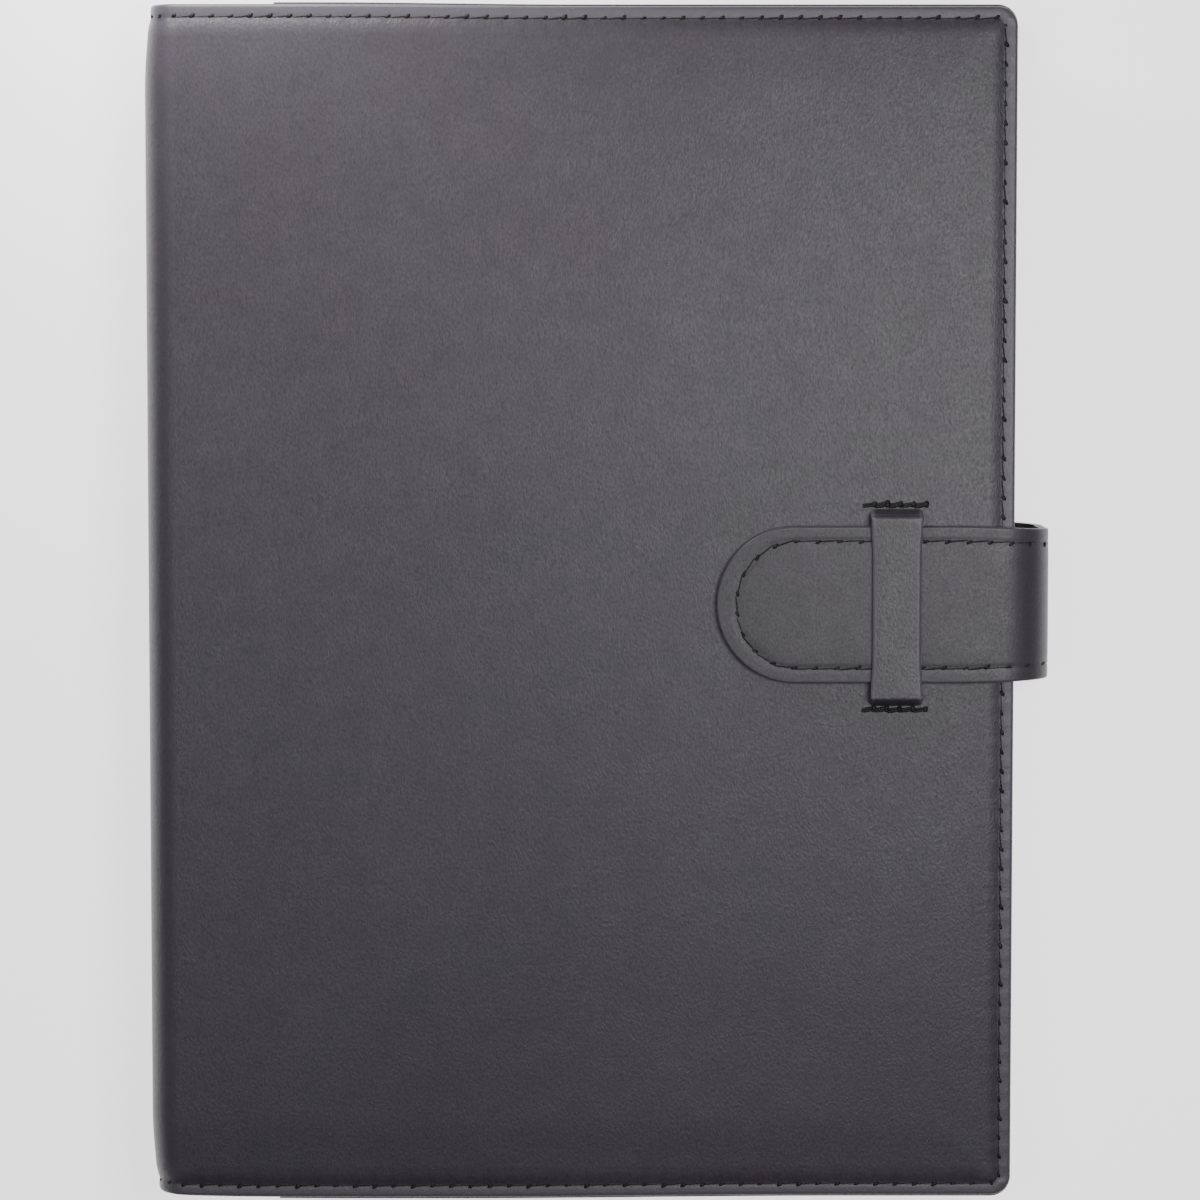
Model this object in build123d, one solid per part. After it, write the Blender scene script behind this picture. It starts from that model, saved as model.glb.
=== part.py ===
"""Refillable A5 notebook cover, closed, lying on its back panel.

Row frame, in millimetres: X runs from the spine to the fore-edge, Y from tail to
head and Z from the back panel to the front panel. The origin is the middle of the
outline on the back panel's outer face, the strap's bow counted in.
"""

import os
from math import cos, degrees, radians, sin

from build123d import *

# The cover's outline
cover_width = 160.0
cover_height = 220.0
fore_corner_radius = 3.7
leather_inset = 0.3  # the leather is cut this much smaller than the sleeve behind it

# Layers of one panel, from the outside in
leather_thick = 1.2
lining_thick = 0.4
board_thick = 2.0
endpaper_thick = 0.2
sleeve_thick = 0.7
layer_gap = 0.1

# The notebook: A5 leaves in two halves that part at the middle
page_width = 148.0
page_height = 210.0
half_block_thick = 6.4
book_spine_thick = 0.8
book_spine_end = 5.5  # the notebook's spine strip stops this far from each outer face
block_from_spine = 5.0  # from the cover's spine face to the bound edge of the leaves
board_from_spine = 9.0
board_from_fore = 2.8
board_corner_radius = 2.0
board_half_height = 107.2
endpaper_half_height = 106.0
endpaper_from_fore = 4.3

# Seams
seam_inset = 2.0
seam_margin = 2.6  # sewn width round the pocket
sleeve_mouth = 24.0  # from the cover's spine face to the pocket's open edge
thread_wide = 0.6
thread_deep = 0.3

# The fold between a panel and the spine
fold_radius = 6.0
fold_gap = 0.12  # each half of a fold stops this short of the fold's middle

# Strap, from the back panel's fore-edge seam round to the front
strap_width = 28.9
strap_bow = 6.6  # how far the strap stands out past the fore-edge
strap_layer = 0.9  # face leather and backing leather are alike
strap_fold_radius = 6.4
tab_length = 54.9  # from the fore-edge to the tip
strap_seam_inset = 2.7
tip_seam_inset = 3.5
tail_length = 12.0
anchor_side_inset = 2.5  # from the strap's long edges to the box seam that holds its tail
anchor_end_inset = 1.0
anchor_from_fore = 4.0
closure_y = 0.3  # the closure sits at about the middle of the cover

# Keeper, the narrow band that the tab passes under
keeper_width = 9.3
keeper_thick = 1.2
keeper_from_fore = 17.2
keeper_half_span = 17.0
keeper_flange = 2.3
keeper_crease_radius = 0.7
keeper_room = 0.15  # between tab and keeper
tack_length = 12.3
tack_wide = 0.8

# Levels and edges worked out from the above
panel_thick = leather_thick + lining_thick + board_thick + endpaper_thick + sleeve_thick
panel_thick += 2 * layer_gap
total_thick = 2 * (panel_thick + half_block_thick) + 3 * layer_gap
mid_z = total_thick / 2
spine_x = -(cover_width + strap_bow) / 2
fore_x = spine_x + cover_width
half_height = cover_height / 2
leather_half = half_height - leather_inset
fold_x = spine_x + fold_radius
strap_half = strap_width / 2
strap_thick = 2 * strap_layer
strap_low_z = leather_thick
tab_low_z = total_thick + layer_gap
tab_high_z = tab_low_z + strap_thick
strap_fold_x = fore_x + strap_bow - strap_fold_radius


def slab(x0, x1, y0, y1, z0, z1):
    """A rectangular block between two corners."""
    size = Vector(x1 - x0, y1 - y0, z1 - z0)
    middle = ((x0 + x1) / 2, (y0 + y1) / 2, (z0 + z1) / 2)
    return Pos(*middle) * Box(size.X, size.Y, size.Z)


def bend(x, z, r_in, r_out, start, end, y0, y1):
    """A sheet bent round a line along Y through (x, z); angles run from +X to +Z."""

    def at(r, angle):
        return (x + r * cos(radians(angle)), y0, z + r * sin(radians(angle)))

    middle = (start + end) / 2
    outer = ThreePointArc(at(r_out, start), at(r_out, middle), at(r_out, end))
    inner = ThreePointArc(at(r_in, start), at(r_in, middle), at(r_in, end))
    sides = [Line(at(r_in, a), at(r_out, a)) for a in (start, end)]
    face = make_face([outer, sides[1], inner, sides[0]])
    return extrude(face, amount=y1 - y0, dir=(0, 1, 0))


def mirrored(shape):
    """The back panel's counterpart of a front panel piece."""
    flipped = mirror(shape, Plane.XY)
    return Pos(0, 0, total_thick) * flipped


def rounded_fore(block, radius):
    """A block with the two upright corners at its fore-edge rounded."""
    corners = block.edges().filter_by(Axis.Z).group_by(Axis.X)[-1]
    return fillet(corners, radius)


def fold_angle_gap(radius):
    """The angle that fold_gap takes at a fold's outer radius."""
    return degrees(fold_gap / radius)


def frame_strip(x0, x1, y_half, z0, z1, corner, y_mid=0.0):
    """A thread's run along head, fore-edge and tail, open towards the spine."""
    inner_radius = max(corner - thread_wide, 0.2)
    outer = rounded_fore(slab(x0, x1, y_mid - y_half, y_mid + y_half, z0, z1), corner)
    inner = slab(
        x0 - 1,
        x1 - thread_wide,
        y_mid - y_half + thread_wide,
        y_mid + y_half - thread_wide,
        z0 - 1,
        z1 + 1,
    )
    return outer - rounded_fore(inner, inner_radius)


# ---- front and back panels: layers from the outside in -------------------------


def front_seam_thread():
    """The perimeter seam on the front leather, lying flush in its furrow."""
    return frame_strip(
        fold_x,
        fore_x - seam_inset,
        leather_half - seam_inset,
        total_thick - thread_deep,
        total_thick,
        fore_corner_radius - seam_inset,
    )


def panel_leather():
    """One panel of the outer leather with its half of the fold, before furrows."""
    low = total_thick - leather_thick
    plate = slab(fold_x, fore_x, -leather_half, leather_half, low, total_thick)
    fold = bend(
        fold_x,
        total_thick - fold_radius,
        fold_radius - leather_thick,
        fold_radius,
        90,
        135 - fold_angle_gap(fold_radius),
        -leather_half,
        leather_half,
    )
    return rounded_fore(plate, fore_corner_radius) + fold


def keeper_tacks():
    """The bar tacks that close the slits at the keeper's two ends."""
    reach = keeper_half_span + keeper_flange
    x = fore_x - keeper_from_fore - keeper_width / 2
    tacks = []
    for side in (-1, 1):
        inner, outer = closure_y + side * reach, closure_y + side * (reach + tack_wide)
        tack = slab(
            x - tack_length / 2,
            x + tack_length / 2,
            min(inner, outer),
            max(inner, outer),
            total_thick - thread_deep,
            total_thick + thread_deep,
        )
        tacks.append(tack)
    return tacks


def front_leather():
    """The front panel, furrowed for its seam and its keeper's bar tacks."""
    shape = panel_leather() - front_seam_thread()
    for tack in keeper_tacks():
        shape -= tack
    return shape


def strap_anchor_thread():
    """The box seam that holds the strap's tail inside the back panel."""
    half = strap_half - anchor_side_inset
    low_x, high_x = fore_x - tail_length + anchor_end_inset, fore_x - anchor_from_fore
    outer = slab(low_x, high_x, closure_y - half, closure_y + half, 0, thread_deep)
    inner = slab(
        low_x + thread_wide,
        high_x - thread_wide,
        closure_y - half + thread_wide,
        closure_y + half - thread_wide,
        -1,
        1,
    )
    return outer - inner


def back_leather():
    """The back panel, with furrows for the perimeter seam and the strap's box seam."""
    return mirrored(panel_leather() - front_seam_thread()) - strap_anchor_thread()


def panel_lining():
    """The woven lining behind one panel's leather, with its half of the fold."""
    high = total_thick - leather_thick
    radius = fold_radius - leather_thick
    edge = fore_x - seam_margin
    y = leather_half - seam_margin
    plate = slab(fold_x, edge, -y, y, high - lining_thick, high)
    fold = bend(
        fold_x,
        total_thick - fold_radius,
        radius - lining_thick,
        radius,
        90,
        135 - fold_angle_gap(radius),
        -y,
        y,
    )
    return plate + fold


def tail_window():
    """The notch in the back lining that takes the strap's thinned tail."""
    return slab(
        fore_x - tail_length,
        fore_x + 1,
        closure_y - strap_half,
        closure_y + strap_half,
        leather_thick,
        leather_thick + lining_thick,
    )


def panel_board():
    """A board of the notebook, standing in the pocket."""
    high = total_thick - leather_thick - lining_thick - layer_gap
    y = board_half_height
    low_x, high_x = spine_x + board_from_spine, fore_x - board_from_fore
    plate = slab(low_x, high_x, -y, y, high - board_thick, high)
    return rounded_fore(plate, board_corner_radius)


def panel_endpaper():
    """The leaf pasted on a board's inner face."""
    high = total_thick - leather_thick - lining_thick - layer_gap - board_thick
    y = endpaper_half_height
    low_x, high_x = spine_x + board_from_spine, fore_x - endpaper_from_fore
    return slab(low_x, high_x, -y, y, high - endpaper_thick, high)


def panel_sleeve():
    """The pocket: a flap with a sewn rim at head, fore-edge and tail."""
    low = total_thick - panel_thick
    high = total_thick - leather_thick
    block = slab(
        spine_x + sleeve_mouth, fore_x, -half_height, half_height, low, high
    )
    y = half_height - seam_margin
    pocket = slab(
        spine_x + sleeve_mouth - 1,
        fore_x - seam_margin,
        -y,
        y,
        low + sleeve_thick,
        high + 1,
    )
    return rounded_fore(block, fore_corner_radius) - pocket


def strap_notch():
    """The gap that the strap leaves through in the back sleeve's fore-edge rim."""
    return slab(
        fore_x - seam_margin,
        fore_x + 1,
        closure_y - strap_half,
        closure_y + strap_half,
        strap_low_z,
        strap_low_z + strap_thick,
    )


# ---- spine ----------------------------------------------------------------------


def spine_sheet(offset, thick, y_half):
    """The spine's stretch of a sheet that lies offset inside the outer face."""
    low_x = spine_x + offset
    r_out = fold_radius - offset
    r_in = r_out - thick
    cut = fold_angle_gap(r_out)
    low_z, high_z = fold_radius, total_thick - fold_radius
    flat = slab(low_x, low_x + thick, -y_half, y_half, low_z, high_z)
    upper = bend(fold_x, high_z, r_in, r_out, 135 + cut, 180, -y_half, y_half)
    lower = bend(fold_x, low_z, r_in, r_out, 180, 225 - cut, -y_half, y_half)
    return flat + upper + lower


def spine_seam_threads():
    """The perimeter seam's short runs across the spine, at head and tail."""
    runs = []
    for side in (-1, 1):
        edge = side * (leather_half - seam_inset)
        inner = edge - side * thread_wide
        runs.append(
            slab(
                spine_x,
                spine_x + thread_deep,
                min(edge, inner),
                max(edge, inner),
                fold_radius,
                total_thick - fold_radius,
            )
        )
    return runs


def spine_leather():
    """The spine of the outer leather, furrowed for the seam."""
    shape = spine_sheet(0, leather_thick, leather_half)
    for run in spine_seam_threads():
        shape -= run
    return shape


def spine_lining():
    """The woven lining behind the spine."""
    return spine_sheet(leather_thick, lining_thick, leather_half - seam_margin)


def book_spine():
    """The cloth-covered strip that joins the notebook's two boards."""
    low_x = spine_x + leather_thick + lining_thick + 2 * layer_gap
    y = board_half_height
    high_z = total_thick - book_spine_end
    return slab(low_x, low_x + book_spine_thick, -y, y, book_spine_end, high_z)


# ---- leaves ---------------------------------------------------------------------


def upper_pages():
    """The front half of the leaves."""
    low_x = spine_x + block_from_spine
    y = page_height / 2
    low_z = mid_z + layer_gap / 2
    return slab(low_x, low_x + page_width, -y, y, low_z, low_z + half_block_thick)


# ---- closure: strap and keeper ---------------------------------------------------


def strap_bend(low, layer_out, layer_in, start, end):
    """A stretch of one strap layer where it turns, at the low or the high corner."""
    z = strap_low_z + strap_fold_radius if low else tab_high_z - strap_fold_radius
    y0, y1 = closure_y - strap_half, closure_y + strap_half
    r_out, r_in = strap_fold_radius - layer_out, strap_fold_radius - layer_in
    return bend(strap_fold_x, z, r_in, r_out, start, end, y0, y1)


def strap_cut():
    """The angle by which a strap layer stops short of a fold's middle."""
    return fold_angle_gap(strap_fold_radius)


def strap_tail(layer):
    """The sewn-in end of the face (layer 0) or the backing (layer 1)."""
    y0, y1 = closure_y - strap_half, closure_y + strap_half
    low_z = strap_low_z + layer * strap_layer
    sewn = slab(fore_x - seam_margin, strap_fold_x, y0, y1, low_z, low_z + strap_layer)
    turn = strap_bend(
        True, layer * strap_layer, (layer + 1) * strap_layer, 270, 315 - strap_cut()
    )
    shape = sewn + turn
    if layer == 0:
        thinned = slab(
            fore_x - tail_length,
            fore_x - seam_margin,
            y0,
            y1,
            strap_low_z,
            strap_low_z + lining_thick,
        )
        shape += thinned
    return shape


def strap_side(layer):
    """The upright stretch past the fore-edge, with half of each fold."""
    y0, y1 = closure_y - strap_half, closure_y + strap_half
    near, far = layer * strap_layer, (layer + 1) * strap_layer
    outer_x = fore_x + strap_bow
    low_z = strap_low_z + strap_fold_radius
    high_z = tab_high_z - strap_fold_radius
    flat = slab(outer_x - far, outer_x - near, y0, y1, low_z, high_z)
    cut = strap_cut()
    lower = strap_bend(True, near, far, 315 + cut, 360)
    upper = strap_bend(False, near, far, 0, 45 - cut)
    return flat + lower + upper


def tab_outline(inset, tip_inset, z0, z1):
    """The tab's plan shape: straight sides and a round tip, drawn in by inset."""
    half = strap_half - inset
    tip_x = fore_x - tab_length + tip_inset
    sides = slab(
        tip_x + half, strap_fold_x, closure_y - half, closure_y + half, z0, z1
    )
    tip = Pos(tip_x + half, closure_y, (z0 + z1) / 2) * Cylinder(half, z1 - z0)
    return sides + tip


def tab_thread():
    """The seam round the tab, flush in the face leather."""
    z0, z1 = tab_high_z - thread_deep, tab_high_z
    outer = tab_outline(strap_seam_inset, tip_seam_inset, z0, z1)
    inner = tab_outline(
        strap_seam_inset + thread_wide, tip_seam_inset + thread_wide, z0 - 1, z1 + 1
    )
    return outer - inner


def strap_tab(layer):
    """The tab over the front panel, face (0) or backing (1), with half a fold."""
    high_z = tab_high_z - layer * strap_layer
    plate = tab_outline(0, 0, high_z - strap_layer, high_z)
    turn = strap_bend(
        False, layer * strap_layer, (layer + 1) * strap_layer, 45 + strap_cut(), 90
    )
    shape = plate + turn
    return shape - tab_thread() if layer == 0 else shape


def side_threads():
    """The strap's two seams on its upright stretch, flush in the face leather."""
    outer_x = fore_x + strap_bow
    low_z = strap_low_z + strap_fold_radius
    high_z = tab_high_z - strap_fold_radius
    runs = []
    for side in (-1, 1):
        edge = closure_y + side * (strap_half - strap_seam_inset)
        inner = edge - side * thread_wide
        y0, y1 = min(edge, inner), max(edge, inner)
        runs.append(slab(outer_x - thread_deep, outer_x, y0, y1, low_z, high_z))
    return runs


def side_face():
    """The upright stretch's face leather, furrowed for its seams."""
    shape = strap_side(0)
    for run in side_threads():
        shape -= run
    return shape


def keeper_band():
    """A folded leather band: a bridge over the tab, two legs and two flanges."""
    x1 = fore_x - keeper_from_fore
    x0 = x1 - keeper_width
    low_z = total_thick
    high_z = tab_high_z + keeper_room + keeper_thick
    span, leg = keeper_half_span, keeper_half_span - keeper_thick
    reach = keeper_half_span + keeper_flange
    bridge = slab(x0, x1, closure_y - span, closure_y + span, low_z, high_z)
    way_through = slab(
        x0 - 1,
        x1 + 1,
        closure_y - leg,
        closure_y + leg,
        low_z - 1,
        high_z - keeper_thick,
    )
    outer_creases = bridge.edges().filter_by(Axis.X).group_by(Axis.Z)[-1]
    shape = fillet(outer_creases, keeper_crease_radius) - way_through
    for side in (-1, 1):
        y_leg, y_end = closure_y + side * span, closure_y + side * reach
        y0, y1 = min(y_leg, y_end), max(y_leg, y_end)
        shape += slab(x0, x1, y0, y1, low_z, low_z + keeper_thick)
    return shape


# ---- the set of sub-parts --------------------------------------------------------


def grouped(pieces):
    """Several separate solids as one node."""
    return Compound(children=list(pieces))


def sub_parts():
    """Every sub-part under its node name."""
    return {
        "back_leather": back_leather(),
        "back_lining": mirrored(panel_lining()) - tail_window(),
        "back_sleeve": mirrored(panel_sleeve()) - strap_notch(),
        "back_seam_thread": mirrored(front_seam_thread()),
        "back_board": mirrored(panel_board()),
        "back_endpaper": mirrored(panel_endpaper()),
        "lower_pages": mirrored(upper_pages()),
        "strap_tail_face": strap_tail(0),
        "strap_tail_backing": strap_tail(1),
        "strap_anchor_thread": strap_anchor_thread(),
        "spine_leather": spine_leather(),
        "spine_lining": spine_lining(),
        "spine_seam_threads": grouped(spine_seam_threads()),
        "book_spine": book_spine(),
        "front_leather": front_leather(),
        "front_lining": panel_lining(),
        "front_sleeve": panel_sleeve(),
        "front_seam_thread": front_seam_thread(),
        "front_board": panel_board(),
        "front_endpaper": panel_endpaper(),
        "keeper_band": keeper_band(),
        "keeper_tacks": grouped(keeper_tacks()),
        "upper_pages": upper_pages(),
        "strap_side_face": side_face(),
        "strap_side_backing": strap_side(1),
        "strap_side_threads": grouped(side_threads()),
        "strap_tab_face": strap_tab(0),
        "strap_tab_backing": strap_tab(1),
        "strap_tab_thread": tab_thread(),
    }


os.makedirs("parts", exist_ok=True)
for name, shape in sub_parts().items():
    export_step(shape, f"parts/{name}.step")
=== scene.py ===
"""A refillable notebook cover in charcoal leatherette, closed by a strap under a keeper."""

from math import cos, pi, radians, sin

import bmesh
import bpy
import numpy as np
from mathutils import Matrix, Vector


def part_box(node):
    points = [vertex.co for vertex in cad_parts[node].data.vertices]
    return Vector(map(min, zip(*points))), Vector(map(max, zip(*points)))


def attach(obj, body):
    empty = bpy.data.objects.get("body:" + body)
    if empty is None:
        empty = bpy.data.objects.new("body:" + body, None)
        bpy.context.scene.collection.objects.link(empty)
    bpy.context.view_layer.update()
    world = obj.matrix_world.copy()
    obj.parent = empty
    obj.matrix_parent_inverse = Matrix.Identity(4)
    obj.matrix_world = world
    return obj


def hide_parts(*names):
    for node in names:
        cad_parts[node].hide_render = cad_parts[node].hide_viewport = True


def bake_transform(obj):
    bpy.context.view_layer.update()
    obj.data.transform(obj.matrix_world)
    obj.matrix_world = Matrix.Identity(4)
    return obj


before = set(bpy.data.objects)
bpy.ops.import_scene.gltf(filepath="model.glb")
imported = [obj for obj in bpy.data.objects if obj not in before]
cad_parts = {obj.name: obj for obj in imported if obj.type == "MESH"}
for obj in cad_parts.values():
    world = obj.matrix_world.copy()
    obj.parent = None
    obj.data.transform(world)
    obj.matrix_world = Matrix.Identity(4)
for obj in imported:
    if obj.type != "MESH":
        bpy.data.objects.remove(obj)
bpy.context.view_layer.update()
mm = 0.001

# --------------------------------------
# The hide: one skin of coated leather that wraps the back, the spine and the front.
# It is cut with turned edges and sewn down round the head, fore-edge and tail. Each
# half runs from the middle of the spine to a fore-edge and bends at its own fold.

spine_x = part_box("spine_leather")[0].x
fore_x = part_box("front_leather")[1].x
top_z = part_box("front_leather")[1].z
hide_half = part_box("front_leather")[1].y + 0.6 * mm  # the turned edges swell past the cut
fold_radius = 6.0 * mm
corner_radius = 3.7 * mm
hide_thick = 1.15 * mm
seam_inset = 2.3 * mm
stitch_pitch = 3.6 * mm
turned_edge = 0.6 * mm  # radius of the roll along the turned edge
margin_width = 2.4 * mm
margin_drop = 0.7 * mm  # the sewn margin lies this much lower than the panel
pillow_reach = 13 * mm  # the panel swells over the boards as far in as this
furrow_depth = 0.13 * mm  # the thread's furrow, which the pull of each stitch puckers
pucker_depth = 0.06 * mm
edge_pucker = 0.08 * mm
head_bow = 0.4 * mm  # with use the head edge draws in and the tail edge bellies out
tail_bow = 0.5 * mm
tail_corner = 0.7 * mm
spine_draw = 0.5 * mm  # the turned edges draw in the two ends of the spine
draw_reach = 17 * mm
middle_z = top_z / 2
spine_run = middle_z - fold_radius
fold_run = pi * fold_radius / 2
fold_x = spine_x + fold_radius
hide_run = spine_run + fold_run + fore_x - fold_x
side_length = hide_run - corner_radius
fore_length = 2 * (hide_half - corner_radius)
side_stitches = round(side_length / stitch_pitch)
fore_stitches = round(fore_length / stitch_pitch)


def ease(t):
    """A smooth step from 0 to 1."""
    t = np.clip(t, 0, 1)
    return t * t * (3 - 2 * t)


def bump(t, width):
    """A bell of height 1 round 0."""
    return np.exp(-((t / width) ** 2))


def wrap(run):
    """The outer face's section, from mid spine round the upper fold to the fore-edge."""
    turn = np.clip((run - spine_run) / fold_radius, 0, pi / 2)
    beyond = np.clip(run - spine_run - fold_run, 0, None)
    rise = np.minimum(run, spine_run)
    x = fold_x - fold_radius * np.cos(turn) + beyond
    z = middle_z + rise + fold_radius * np.sin(turn)
    return x, z, -np.cos(turn), np.sin(turn)


def round_corners(run, y, half):
    """Turns a square grid's fore corners into arcs; gives the distance to the edge too."""
    from_fore, from_side = hide_run - run, half - np.abs(y)
    a = np.clip(corner_radius - from_fore, 0, None)
    b = np.clip(corner_radius - from_side, 0, None)
    big, small = np.maximum(a, b), np.minimum(a, b)
    turn = pi / 4 * small / np.maximum(big, 1e-9)
    turn = np.where(a >= b, turn, pi / 2 - turn)
    inside = (a > 0) & (b > 0)
    run = np.where(inside, hide_run - corner_radius + big * np.cos(turn), run)
    across = np.where(inside, half - corner_radius + big * np.sin(turn), np.abs(y))
    return run, np.sign(y) * across, np.minimum(from_fore, from_side)


def relax(x, y):
    """The slight bow of long use: edges that aren't quite straight, spine ends drawn in."""
    along = (x - spine_x) / (fore_x - spine_x)
    edge = (np.abs(y) / hide_half) ** 6
    head = -head_bow * ease((along - 0.2) / 0.3)
    tail = tail_corner * np.exp(-along / 0.06) + tail_bow * ease((along - 0.35) / 0.45)
    drawn = spine_draw * ease((np.abs(y) - hide_half + draw_reach) / draw_reach) ** 1.5
    x = x + drawn * (1 - ease((x - spine_x) / (16 * mm)))
    return x, y + edge * np.where(y > 0, head, tail)


def lay(run, y, depth, half=hide_half):
    """Points at a depth under the hide's outer face."""
    run, y, _ = round_corners(run, y, half)
    x, z, nx, nz = wrap(run)
    x, y = relax(x - nx * depth, y)
    return np.stack([x, y, z - nz * depth], -1)


def seam_swell(run, y):
    """How far the outer face drops at the turned edge, in the seam and between stitches."""
    edge = np.minimum(hide_run - run, hide_half - np.abs(y))
    on_fore = hide_run - run < hide_half - np.abs(y)
    side_phase = (side_length - run) * side_stitches / side_length
    fore_phase = (hide_half - corner_radius - y) * fore_stitches / fore_length
    pucker = np.cos(2 * pi * np.where(on_fore, fore_phase, side_phase))
    roll = turned_edge * (1 - np.sqrt(1 - np.clip(1 - edge / turned_edge, 0, 1) ** 2))
    inward = edge - margin_width
    shoulder, pillow = ease(inward / margin_width), ease(inward / pillow_reach)
    rise = margin_drop * (1 - 0.6 * shoulder - 0.4 * pillow)
    furrow = (furrow_depth + pucker_depth * pucker) * bump(edge - seam_inset, 0.36 * mm)
    furrow += pucker_depth * pucker * bump(edge - 3.2 * mm, 0.8 * mm)
    furrow += edge_pucker * pucker * bump(edge - 1.2 * mm, 0.7 * mm)
    return roll, rise, furrow


def grid_faces(rows, columns, start, flip):
    """Quads over a grid of points that are numbered row by row."""
    faces = []
    for i in range(rows - 1):
        for j in range(columns - 1):
            a = start + i * columns + j
            quad = (a, a + 1, a + columns + 1, a + columns)
            faces.append(quad[::-1] if flip else quad)
    return faces


def closed_shell(outer, inner, folded=False):
    """Two grids joined round their rims; a folded grid's last row meets itself."""
    rows, columns = outer.shape[:2]
    count = rows * columns
    faces = grid_faces(rows, columns, 0, False) + grid_faces(rows, columns, count, True)
    last = [(rows - 1) * columns + j for j in range(columns - 1, -1, -1)]
    left = [i * columns for i in range(rows - 1, -1, -1)]
    right = [i * columns + columns - 1 for i in range(rows)]
    rims = [list(range(columns)), right, left] + ([] if folded else [last])
    for rim in rims:
        for a, b in zip(rim, rim[1:]):
            faces.append((b, a, a + count, b + count))
    return np.concatenate([outer.reshape(-1, 3), inner.reshape(-1, 3)]), faces


def show(name, data):
    """Puts a mesh, a light or a camera into the scene."""
    thing = bpy.data.objects.new(name, data)
    bpy.context.scene.collection.objects.link(thing)
    return thing


def make_piece(name, points, faces, material, sharp=50, pressed=None):
    """A smooth-shaded mesh object whose faces point outwards."""
    mesh = bpy.data.meshes.new(name)
    mesh.from_pydata([tuple(p) for p in points], [], faces)
    # pressed carries the sewn margin's mask, which the leather uses for a painted highlight
    if pressed is not None:
        mask = mesh.attributes.new("pressed", "FLOAT", "POINT")
        mask.data.foreach_set("value", np.asarray(pressed, np.float32).ravel())
    work = bmesh.new()
    work.from_mesh(mesh)
    bmesh.ops.remove_doubles(work, verts=work.verts, dist=1e-7)
    bmesh.ops.recalc_face_normals(work, faces=work.faces)
    work.to_mesh(mesh)
    work.free()
    mesh.shade_smooth()
    mesh.set_sharp_from_angle(angle=radians(sharp))
    mesh.materials.append(material)
    return show(name, mesh)


def to_back(points):
    """The same points on the back half, which mirrors the front."""
    return points * np.array([1, 1, -1]) + np.array([0, 0, top_z])


def make_pair(name, outer, inner, material, pressed=None):
    """A front piece and its back twin."""
    front = make_piece("front_" + name, *closed_shell(outer, inner), material, pressed=pressed)
    shell = closed_shell(to_back(outer), to_back(inner))
    return front, make_piece("back_" + name, *shell, material, pressed=pressed)


def add_node(tree, kind, inputs=None, **settings):
    """A node with its settings, each input linked to a socket or set to a value."""
    node = tree.nodes.new(kind)
    for key, value in settings.items():
        setattr(node, key, value)
    for key, value in (inputs or {}).items():
        if hasattr(value, "is_output"):
            tree.links.new(value, node.inputs[key])
        else:
            node.inputs[key].default_value = value
    return node


def sums(tree, operation, a, b=0.5):
    """The output of a Math node on two sockets or numbers."""
    return add_node(tree, "ShaderNodeMath", {0: a, 1: b}, operation=operation).outputs[0]


def times(tree, a, b):
    """One socket or number times another."""
    return sums(tree, "MULTIPLY", a, b)


def on_vectors(tree, operation, a, b):
    """The output of a Vector Math node on two sockets or vectors."""
    return add_node(tree, "ShaderNodeVectorMath", {0: a, 1: b}, operation=operation).outputs[0]


def combined(tree, **parts):
    """A vector made of its X, Y and Z."""
    return add_node(tree, "ShaderNodeCombineXYZ", parts).outputs[0]


def on_piece(tree):
    """The place of a spot on its piece."""
    return add_node(tree, "ShaderNodeTexCoord").outputs["Object"]


def noise(tree, place, scale, detail=2.0, rough=0.5):
    """Soft random blotches, from 0 to 1."""
    inputs = {"Vector": place, "Scale": scale, "Detail": detail, "Roughness": rough}
    return add_node(tree, "ShaderNodeTexNoise", inputs).outputs["Fac"]


def spread(tree, value, low, high, to_low=0.0, to_high=1.0):
    """A value's range from low to high, spread over another range."""
    inputs = {"Value": value, "From Min": low, "From Max": high, "To Min": to_low, "To Max": to_high}
    return add_node(tree, "ShaderNodeMapRange", inputs).outputs[0]


def new_group(name, inputs, outputs, kind="ShaderNodeTree", form="Float"):
    """An empty node group with named sockets; gives its tree, inputs and end."""
    group = bpy.data.node_groups.new(name, kind)
    for label, value in inputs.items():
        form_in = value if isinstance(value, str) else ("Int" if isinstance(value, int) else "Float")
        socket = group.interface.new_socket(label, in_out="INPUT", socket_type="NodeSocket" + form_in)
        if not isinstance(value, str):
            socket.default_value = value
    for label in outputs:
        group.interface.new_socket(label, in_out="OUTPUT", socket_type="NodeSocket" + form)
    start = group.nodes.new("NodeGroupInput")
    return group, start.outputs, group.nodes.new("NodeGroupOutput").inputs


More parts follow.
